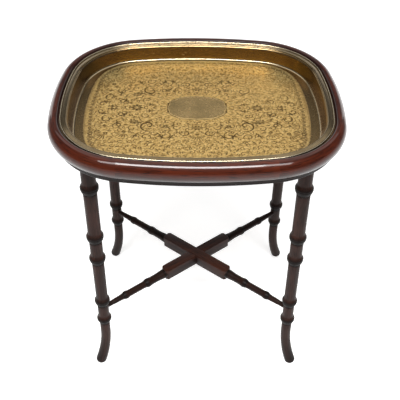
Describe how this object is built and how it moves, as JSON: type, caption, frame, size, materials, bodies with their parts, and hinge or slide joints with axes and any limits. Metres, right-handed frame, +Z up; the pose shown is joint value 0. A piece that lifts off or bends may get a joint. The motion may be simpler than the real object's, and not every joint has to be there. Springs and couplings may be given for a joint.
{
  "type": "tray table",
  "caption": "Rounded-rectangle side table: engraved brass tray that lifts out of a bullnosed wooden frame, on bamboo-turned splayed legs with an X stretcher.",
  "frame": {"origin": "on the floor at the middle of the footprint", "axes": "+Z up, +X along the table's long side, +Y towards the back"},
  "size_m": [0.563, 0.481, 0.6145],
  "materials": {
    "brass": "polished, engraved, lightly tarnished",
    "brass_border": "polished, reeded border and edge bead",
    "mahogany": "high gloss lacquer over red mahogany",
    "dark_mahogany": "satin dark stained mahogany",
    "plain_wood": "unfinished",
    "steel": "plain"
  },
  "bodies": {
    "stand": {"rail_front": "mahogany", "rail_back": "mahogany", "rail_left": "mahogany", "rail_right": "mahogany", "rail_corner_front_left": "mahogany", "rail_corner_front_right": "mahogany", "rail_corner_back_left": "mahogany", "rail_corner_back_right": "mahogany", "apron_front": "mahogany", "apron_back": "mahogany", "apron_left": "mahogany", "apron_right": "mahogany", "rail_dowels": "plain_wood", "corner_block_front_left": "plain_wood", "corner_block_front_right": "plain_wood", "corner_block_back_left": "plain_wood", "corner_block_back_right": "plain_wood", "corner_block_screws": "steel", "leg_front_left": "dark_mahogany", "leg_front_right": "dark_mahogany", "leg_back_left": "dark_mahogany", "leg_back_right": "dark_mahogany", "stretcher_bar_lower": "dark_mahogany", "stretcher_bar_upper": "dark_mahogany", "stretcher_screw": "steel"},
    "tray": {"tray_pan": "brass", "tray_rim_moulding": "brass_border", "tray_edge_bead": "brass_border"}
  },
  "joints": [
    {"name": "tray_lift", "type": "slide", "parent": "stand", "child": "tray", "axis": [0, 0, 1], "range_m": [0, 0.12]}
  ]
}
